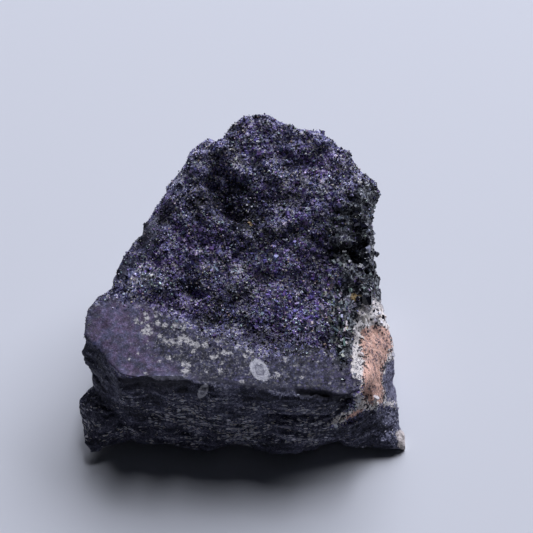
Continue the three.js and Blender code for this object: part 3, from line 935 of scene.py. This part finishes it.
# Painted light: where the white rim lies in shade, it is brightened towards full white.
chalk = rock.mix(rock.by(rock.told("painted_light_on_rim"), 0.85), chalk, PAINTED_LIGHT_WHITE)
pink = rock.ramp(rock.noise(1.8, 5.0, rough=0.65), [
    (0.34, (0.36, 0.20, 0.17)), (0.47, (0.72, 0.42, 0.32)), (0.64, (0.90, 0.61, 0.49))])
bluish = rock.ramp(rock.noise(2.2, 4.0), [(0.36, (0.07, 0.07, 0.12)), (0.60, (0.36, 0.35, 0.48))])
broken = rock.mix(in_patch, rock.mix(in_salmon, chalk, pink), bluish)
vein = rock.calc("ABSOLUTE", rock.less(rock.noise(1.5, 5.0, rough=0.7), 0.5))
vein = rock.by(rock.between(vein, 0.055, 0.015), rock.between(mottle, 0.44, 0.58))
broken = rock.mix(vein, broken, VEIN_GREY)
print("with the break's colours:", len(rock.tree.nodes))

# %% Black chips on the break
CHIP_BLACK = tint(0.012, 0.013, 0.02)

chip_far, chip, _ = rock.cells(2.3, at=rock.warped(0.35, 3.5))
edge = rock.less(1.0, rock.calc("ABSOLUTE", rock.less(rock.told("salmon"), 0.5)))
reach = rock.line(chip[0], 1.1, rock.line(edge, 0.7, -0.96))
reach = rock.line(rock.less(1.0, in_salmon), -0.04, reach)
reach = rock.line(rock.between(rock.noise(0.45, 3.0), 0.50, 0.60), 0.24, reach)
chips = rock.between(rock.less(reach, chip_far), -0.03, 0.05)
broken = rock.mix(rock.by(chips, 0.9), broken, CHIP_BLACK)
color = rock.mix(in_break, color, broken)
print("with the chips:", len(rock.tree.nodes))

# %% [markdown]
# # Last touches and gloss
# Painted shadow in the crack under the lip, a pale toe and a few ochre grains are laid on last.
# Crystal faces are glossy, some more than others, and broken rock is dull. A flat finish would still
# shine as one sheet, so each grain leans its normal by its own random colour, which is how
# the crust gets its glints, and a fine bump roughens every face.

# %% Painted shadow in the crack, toe and ochre grains
CRACK_SHADOW = tint(0.004, 0.004, 0.006)
TOE_GREY, TOE_WHITE = tint(0.42, 0.37, 0.35), tint(0.62, 0.56, 0.54)
DARK_OCHRE, PALE_OCHRE = tint(0.20, 0.13, 0.05), tint(0.62, 0.45, 0.22)

# Painted shadow in the crack under the lip.
color = rock.mix(rock.by(rock.told("crack"), 0.8), color, CRACK_SHADOW)
toe = rock.frayed("toe", breakup, 0.35, 0.65)
color = rock.mix(toe, color, rock.mix(fine[0], TOE_GREY, TOE_WHITE))
ochre = rock.frayed("ochre", breakup, 0.40, 0.70)
color = rock.mix(ochre, color, rock.mix(fine[0], DARK_OCHRE, PALE_OCHRE))
rock.feed(rock.skin.inputs["Base Color"], color)
print("with the last colours:", len(rock.tree.nodes))

# %% Gloss and tilt of the grains, and mounting
GRAIN_LEAN, FINE_LEAN, LEAN_MIDDLE = 0.7, 0.5, (-0.6, -0.6, -0.6)
BUMP_DEPTH = 0.12 * MM

dull = rock.calc("MAXIMUM", ledge_edge, in_break)
dull = rock.calc("MAXIMUM", dull, rock.between(rock.told("lip"), 0.05, 0.45))
gloss = rock.line(rock.between(grain[2], 0.04, 0.22), 0.42, 0.20)
rough = rock.calc("MAXIMUM", gloss, rock.by(dull, 0.75))
rough = rock.calc("MAXIMUM", rough, rock.by(layered, 0.42))
rock.feed(rock.skin.inputs["Roughness"], rough)

lean = rock.vector("ADD", rock.scaled(grain_color, GRAIN_LEAN), rock.scaled(fine_color, FINE_LEAN))
lean = rock.vector("ADD", lean, LEAN_MIDDLE)
amount = rock.line(rock.calc("MAXIMUM", dull, rock.by(haze, 0.6)), -0.75, 1.0)
normal = rock.put("ShaderNodeNewGeometry").outputs["Normal"]
tilted = rock.vector("NORMALIZE", rock.vector("ADD", normal, rock.scaled(lean, amount)))
bump = rock.put("ShaderNodeBump", {
    "Strength": 0.6, "Distance": BUMP_DEPTH, "Height": rock.noise(3.0, 4.0), "Normal": tilted})
rock.feed(rock.skin.inputs["Normal"], bump.outputs[0])

stone.data.materials.clear()
stone.data.materials.append(rock.material)
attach(stone, "root")
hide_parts(STONE)
print("nodes in the stone's finish:", len(rock.tree.nodes))

# %% [markdown]
# # Crystals in general
# Fluorite grows as cubes, and the coarser crystals here are chunks with broken corners. One
# of each is modelled, and copies of it are joined into one mesh for each kind of crystal. A
# mesh of joined copies rides and exports as one piece, which thousands of objects wouldn't.
# Every copy is turned at random and sunk into the crust, and remembers its own tone as a
# point colour.

# %% Model a cube and a chunk
def one_crystal(cuts=()):
    """A cube of side 1 with slices cut off it, as places and faces."""
    bpy.ops.object.select_all(action="DESELECT")
    bpy.ops.mesh.primitive_cube_add(size=1)
    cube = bpy.context.object
    bpy.ops.object.mode_set(mode="EDIT")
    for direction, reach in cuts:
        bpy.ops.mesh.select_all(action="SELECT")
        away = Vector(direction).normalized()
        bpy.ops.mesh.bisect(plane_co=away * reach, plane_no=away, use_fill=True,
                            clear_outer=True)
    bpy.ops.object.mode_set(mode="OBJECT")
    corners = read(cube)
    faces = [list(p.vertices) for p in cube.data.polygons]
    bpy.data.objects.remove(cube)
    return corners, faces


# Each cut: the way it faces, and how far from the middle it is.
CHUNK_CUTS = [((1, 1, 0.4), 0.45), ((-1, 0.3, 0.8), 0.42), ((0.2, -1, -0.7), 0.44)]
CUBE = one_crystal()
CHUNK = one_crystal(CHUNK_CUTS)
print("a cube has", len(CUBE[1]), "faces, a chunk", len(CHUNK[1]))

# %% Turn the copies and join them
# One seed for all draws, so that every run grows the same crystals, and how far inside the
# solid's box they stay.
SEED = 22
INSET = 0.02 * MM

draw = np.random.default_rng(SEED)


def turns(count):
    """That many random rotations, as 3x3 matrices."""
    w, x, y, z = draw.normal(size=(4, count))
    size = np.sqrt(w * w + x * x + y * y + z * z)
    w, x, y, z = w / size, x / size, y / size, z / size
    return np.stack([1 - 2 * (y * y + z * z), 2 * (x * y - w * z), 2 * (x * z + w * y),
                     2 * (x * y + w * z), 1 - 2 * (x * x + z * z), 2 * (y * z - w * x),
                     2 * (x * z - w * y), 2 * (y * z + w * x), 1 - 2 * (x * x + y * y)],
                    1).reshape(-1, 3, 3)


def grow(name, crystal, anchors, outward, sizes, tones, proud, rotations=None):
    """Joins a copy of the crystal at each anchor, raised by proud times its size.

    The sizes are three sides each, in mm, and the rotations are random unless given.
    """
    corners, faces = crystal
    count, step = len(anchors), len(corners)
    if rotations is None:
        rotations = turns(count)
    turned = np.einsum("nij,nkj->nki", rotations, corners[None] * sizes[:, None])
    middle = anchors / MM + outward * (sizes.mean(1) * proud)[:, None]
    points = (turned + middle[:, None]).reshape(-1, 3) * MM
    points = np.clip(points, LOW + INSET, HIGH - INSET)
    joined = [[v + n * step for v in face] for n in range(count) for face in faces]
    mesh = bpy.data.meshes.new(name)
    mesh.from_pydata(points.tolist(), [], joined)
    tone = mesh.color_attributes.new("tone", "FLOAT_COLOR", "POINT")
    rows = np.ones((count * step, 4), np.float32)
    rows[:, :3] = np.repeat(tones, step, 0)
    tone.data.foreach_set("color", rows.ravel())
    piece = bpy.data.objects.new(name, mesh)
    bpy.context.scene.collection.objects.link(piece)
    print(f"{name}: {count} crystals, {sum(len(f) - 2 for f in faces) * count} triangles")
    return piece


print("the copies stay inside", np.round((HIGH - LOW - 2 * INSET) / MM, 1), "mm")


# %% Draw places, tones and sizes
TONES = {"black": (0.008, 0.008, 0.014), "navy": (0.045, 0.047, 0.088),
         "violet": (0.14, 0.105, 0.27), "bright_violet": (0.24, 0.19, 0.44),
         "lavender": (0.28, 0.28, 0.39), "grey": (0.32, 0.33, 0.39), "white": (0.72, 0.72, 0.77),
         "slate": (0.055, 0.060, 0.075), "cream": (0.72, 0.66, 0.62), "beige": (0.40, 0.36, 0.31),
         "grey_green": (0.30, 0.34, 0.34), "ochre": (0.42, 0.28, 0.15)}
# How far a crystal strays from its point, how much larger than middling it may be, and a
# trace of weight that keeps the sum of a region's weights above 0.
STRAY = 0.12 * MM
LARGEST = 1.7
TRACE = 1e-9


def scattered(weights, count):
    """Indices of stone points, drawn by weight, and their places moved a little aside."""
    index = draw.choice(len(weights), count, p=weights / weights.sum())
    return index, places[index] + draw.normal(0, STRAY, (count, 3))


def chosen(odds, count, cast=0.2):
    """A tone for each crystal by the odds, each part of it varied by the cast."""
    table = np.array([TONES[name] for name in odds])
    chances = np.array(list(odds.values()))
    picked = table[draw.choice(len(odds), count, p=chances / chances.sum())]
    return picked * draw.uniform(1 - cast, 1 + cast, (count, 3))


def odd_sizes(count, middle, spread, uneven):
    """Three sides in mm for each crystal."""
    overall = np.exp(draw.normal(math.log(middle), spread, (count, 1)))
    overall = np.minimum(overall, LARGEST * middle)
    return overall * draw.uniform(1 - uneven, 1 + uneven, (count, 3))


print(len(TONES), "tones:", ", ".join(TONES))


# %% Fit the crystals to the stone
def brightness(index):
    """The crystals take the painted light and painted shade of the crust they sit on, and are darker
    on faces turned away from the camera.
    """
    share = 1 + 1.1 * region["glow"] - 0.62 * region["shade"] - 0.45 * region["behind"]
    return share[index, None]


def slimmer(index):
    """Smaller crystals along the outline, where they would stand out like thorns."""
    return (0.50 + 0.50 * head_on[index])[:, None]


# No crystals grow under this height in mm, where the stone rests on the floor.
FREE_FROM = 0.8

bare = (1 - region["ledge"]) * (1 - region["break"]) * (1 - region["lip"]) * (height > FREE_FROM)
on_crust = bare * (1 - region["layered"]) * (1 - 0.4 * region["dark"]) * (1 - 0.8 * region["coarse"])
seen = 0.30 + 0.70 * faces_camera
seen *= 0.12 + 0.88 * smooth(np.abs(normals @ np.array(sight)), 0.10, 0.45)
print(f"crust for crystals: {on_crust.sum() * (SQUARE / MM) ** 2:.0f} mm2")

# %% [markdown]
# # Fine dark and violet grains
# The crust's own grain is crystals of a quarter of a millimetre. Colour alone would look
# printed, so thousands of small cubes are scattered over the slope, dark ones everywhere
# and violet ones mostly where the rock is violet. There are fewer on the back, and smaller
# ones along the outline.

# %% Grow the fine grains
GRAINS = 9000
# Each kind: where it grows, the odds of its tones and its middle size in mm.
GRAIN_KINDS = {
    "dark_grains": (on_crust * seen, {"black": 37, "navy": 31, "violet": 16, "bright_violet": 5,
                                      "lavender": 6, "grey": 5}, 0.24),
    "violet_grains": (on_crust * seen * (0.15 + region["violet"]),
                      {"black": 17, "navy": 28, "violet": 35, "bright_violet": 9,
                       "lavender": 7, "grey": 4}, 0.22),
}
crystals = {}
for name, (weights, odds, side) in GRAIN_KINDS.items():
    index, anchors = scattered(weights, GRAINS)
    tones = chosen(odds, GRAINS) * brightness(index)
    sizes = odd_sizes(GRAINS, side, 0.35, 0.35) * slimmer(index)
    crystals[name] = grow(name, CUBE, anchors, normals[index], sizes, tones, proud=-0.50)

# %% [markdown]
# # Larger violet cubes
# In places the crystals had room to grow into cubes of half a millimetre, which show their
# flat faces. They are kept to those places and to faces that look at the camera, because a
# cube this large on the outline would change it.

# %% Grow the violet cubes
CUBES = 1500
CUBE_PATCHES = [((300, 262), (42, 56)), ((318, 214), (30, 22)), ((200, 244), (26, 18)),
                ((262, 150), (24, 14)), ((290, 322), (30, 20))]
cubed = patches(dots, CUBE_PATCHES) * (1 - region["coarse"]) * (1 - 0.6 * region["dark"]) + 0.03
frontal = smooth(-(normals @ np.array(sight)), 0.30, 0.60)
index, anchors = scattered(on_crust * cubed * frontal, CUBES)
tones = chosen({"navy": 26, "violet": 36, "bright_violet": 24, "lavender": 12, "white": 2}, CUBES)
tones *= brightness(index)
sizes = odd_sizes(CUBES, 0.48, 0.32, 0.20)
crystals["violet_cubes"] = grow("violet_cubes", CUBE, anchors, normals[index], sizes, tones,
                                proud=-0.42)

# %% [markdown]
# Pale grains, some set one by one
# Pale crystals are what the eye finds first on a dark crust, so chance alone isn't enough
# for them. Thousands of fine ones are scattered, mostly where the crust is pale, and a few
# larger ones are set one by one: a ray from the camera through a dot finds the place on
# the stone where that one sits.

# %% Find the stone behind a dot
def land(column, row):
    """Where the line of sight through that dot meets the stone, and the way it faces."""
    ray = sight + Vector((1, 0, 0)) * ((column - VIEW_SIZE / 2) / FOCAL_DOTS)
    ray += view_up * ((VIEW_SIZE / 2 - row) / FOCAL_DOTS)
    _, place, facing, _ = stone.ray_cast(eye, ray.normalized())
    return list(place) + list(facing)


def put_by_hand(spots, anchors, outward):
    """Adds the places and facings behind the spots, which start with a column and a row."""
    landed = np.array([land(column, row) for column, row, *_ in spots])
    return np.vstack([anchors, landed[:, :3]]), np.vstack([outward, landed[:, 3:]])


middle = land(VIEW_SIZE / 2, VIEW_SIZE / 2)
print("the middle dot lands at", [round(c / MM, 1) for c in middle[:3]], "mm")

# %% Grow the pale grains
PALE = 7000
# Each one listed: its column, row, side in mm and tone.
# Some white ones are painted highlights: the row along the crest, at rows 186 to 189, stands for the
# light along its edge, and the one at 247, 205 for a glint.
NAMED = [(258, 142, 0.6, "white"), (271, 151, 0.6, "lavender"), (262, 147, 0.4, "white"),
         (264, 141, 0.35, "white"), (317, 214, 0.6, "lavender"), (309, 231, 0.45, "white"),
         (247, 205, 0.5, "white"), (244, 209, 0.4, "grey"), (252, 207, 0.35, "white"),
         (318, 188, 0.35, "white"), (324, 189, 0.4, "grey"), (330, 187, 0.4, "white"),
         (336, 188, 0.45, "white"), (343, 186, 0.35, "grey"), (310, 198, 0.35, "white"),
         (316, 199, 0.35, "white"), (334, 262, 0.9, "grey_green"), (338, 260, 0.7, "white"),
         (340, 264, 0.6, "grey_green"), (190, 248, 0.4, "ochre"), (223, 247, 0.4, "ochre"),
         (249, 223, 0.4, "ochre"), (254, 286, 0.4, "white"), (238, 282, 0.5, "grey"),
         (205, 289, 0.3, "white"), (275, 290, 0.35, "white"), (280, 180, 0.35, "white"),
         (172, 310, 0.5, "white"), (196, 302, 0.4, "white"), (300, 258, 0.4, "lavender"),
         (344, 330, 0.5, "white"), (347, 328, 0.4, "ochre"), (330, 346, 0.4, "white"),
         (326, 366, 0.35, "grey"), (186, 216, 0.35, "white"), (181, 221, 0.3, "grey")]
pale_weights = on_crust * seen * (0.6 + region["pale"]) * (1 - 0.5 * region["hazy"])
index, anchors = scattered(pale_weights, PALE)
tones = chosen({"lavender": 32, "grey": 24, "beige": 18, "white": 26}, PALE) * brightness(index)
sizes = odd_sizes(PALE, 0.18, 0.33, 0.35) * slimmer(index)
anchors, outward = put_by_hand(NAMED, anchors, normals[index])
named_sides = np.array([[side] * 3 for _, _, side, _ in NAMED])
sizes = np.vstack([sizes, named_sides * draw.uniform(0.6, 1.2, (len(NAMED), 3))])
tones = np.vstack([tones, [TONES[tone] for _, _, _, tone in NAMED]])
crystals["pale_grains"] = grow("pale_grains", CUBE, anchors, outward, sizes, tones, proud=0.0)

# %% [markdown]
# # Splinters in the cleft
# Between the slope and the coarse crystals lies a cleft full of splinters, which all run
# the same way down it. They are cubes drawn out along one side, laid along the surface
# instead of turned at random, with some stray.

# %% Grow the splinters
SPLINTERS = 340
DOWN_THE_CLEFT, WANDER = (0.15, -0.7, -0.5), 0.45
# The least and the most of each side, in mm.
SPLINTER_SIDES = [(0.14, 0.45), (0.12, 0.28), (0.4, 1.3)]


def lying(outward, way, stray):
    """Rotations whose third axis follows the surface along the way, give or take."""
    way = np.array(way, float) + draw.normal(0, stray, outward.shape)
    long = way - outward * (way * outward).sum(1)[:, None]
    long /= np.linalg.norm(long, axis=1)[:, None]
    side = np.cross(outward, long)
    side /= np.linalg.norm(side, axis=1)[:, None]
    return np.stack([side, np.cross(long, side), long], 2)


index, anchors = scattered(region["needles"] + TRACE, SPLINTERS)
tones = chosen({"grey_green": 24, "grey": 28, "black": 18, "slate": 14, "white": 16}, SPLINTERS)
sizes = np.stack([draw.uniform(least, most, SPLINTERS) for least, most in SPLINTER_SIDES], 1)
rotations = lying(normals[index], DOWN_THE_CLEFT, WANDER)
crystals["pale_needles"] = grow("pale_needles", CUBE, anchors, normals[index], sizes, tones,
                                proud=-0.05, rotations=rotations)

# %% [markdown]
# # Coarse black crystals and cream lumps
# The right edge carries glossy black crystals of most of a millimetre, which gather into a
# rounded knob above the break, and the break's rim crumbles into cream lumps. Both are
# copies of the chunk, whose slanted faces look less regular than a cube's.

# %% Grow the coarse crystals
COARSE_COUNT = 900
# The knob's crystals: column, row and side in mm.
KNOB = [(362, 290, 1.5), (369, 288, 1.4), (366, 297, 1.7), (372, 295, 1.3), (359, 298, 1.3)]

index, anchors = scattered(region["coarse"] * (1 - region["break"]) + TRACE, COARSE_COUNT)
tones = chosen({"black": 42, "slate": 33, "navy": 13, "grey_green": 7, "grey": 5}, COARSE_COUNT,
               cast=0.1)
tones *= brightness(index)
sizes = odd_sizes(COARSE_COUNT, 0.70, 0.30, 0.35)
anchors, outward = put_by_hand(KNOB, anchors, normals[index])
sizes = np.vstack([sizes, [[side] * 3 for _, _, side in KNOB]])
tones = np.vstack([tones, [TONES["black"]] * len(KNOB)])
crystals["coarse_crystals"] = grow("coarse_crystals", CHUNK, anchors, outward, sizes, tones,
                                   proud=-0.46)

# %% Grow the cream lumps
LUMPS = 300
LUMPY_PATCHES = [((374, 316), (16, 12)), ((360, 405), (9, 8)), ((338, 420), (10, 6))]

rim = region["break"] * (1 - region["salmon"]) * (1 - region["blue_patch"])
index, anchors = scattered(rim * (0.2 + patches(dots, LUMPY_PATCHES)) + TRACE, LUMPS)
tones = chosen({"cream": 58, "white": 22, "grey": 6, "black": 14}, LUMPS, cast=0.03)
sizes = odd_sizes(LUMPS, 0.62, 0.35, 0.30)
crystals["cream_lumps"] = grow("cream_lumps", CHUNK, anchors, normals[index], sizes, tones,
                               proud=-0.36)

# %% [markdown]
# # The crystals' finish
# A crystal is one clear tone, slightly cloudy inside, with glossy faces. One recipe serves
# all kinds: it reads each copy's tone, clouds it with noise and varies the gloss. The fine
# grains are duller than the coarse black ones, which shine like glass.

# %% Write the crystals' finish
CLOUD_PER_MM, FINE_BUMP = 2.4, 0.05 * MM


def crystal_finish(name, roughness, spread, **gloss):
    """A finish that takes each copy's tone; its roughness varies by the spread in all."""
    finish = Finish(name, **gloss)
    tone = finish.put("ShaderNodeAttribute", attribute_name="tone").outputs["Color"]
    cloudy = finish.line(finish.noise(CLOUD_PER_MM, 3.0), 0.9, 0.55)
    finish.feed(finish.skin.inputs["Base Color"], finish.scaled(tone, cloudy))
    gloss_patches = finish.line(finish.noise(1.7, 2.0), spread, roughness - spread / 2)
    finish.feed(finish.skin.inputs["Roughness"], gloss_patches)
    bump = finish.put("ShaderNodeBump", {"Strength": 0.4, "Distance": FINE_BUMP,
                                         "Height": finish.noise(5.0, 3.0)})
    finish.feed(finish.skin.inputs["Normal"], bump.outputs[0])
    print(name, "has", len(finish.tree.nodes), "nodes")
    return finish.material


# %% Dress and mount the crystals
dark_finish = crystal_finish("fluorite_cubes", roughness=0.36, spread=0.5, IOR=1.45)
pale_finish = crystal_finish("pale_cubes", roughness=0.40, spread=0.4, IOR=1.45)
black_finish = crystal_finish("coarse_black", roughness=0.20, spread=0.25, IOR=1.6)
MOUNTED = {"dark_grains": (dark_finish, "dark_fluorite"),
           "violet_grains": (dark_finish, "dark_fluorite"),
           "violet_cubes": (dark_finish, "dark_fluorite"),
           "pale_grains": (pale_finish, "pale_grain"),
           "pale_needles": (pale_finish, "pale_grain"),
           "cream_lumps": (pale_finish, "pale_grain"),
           "coarse_crystals": (black_finish, "coarse_crystal")}
for name, (finish, slot) in MOUNTED.items():
    piece = crystals[name]
    piece.data.materials.append(finish)
    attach(piece, "root")
print("mounted", len(MOUNTED), "kinds of crystal")
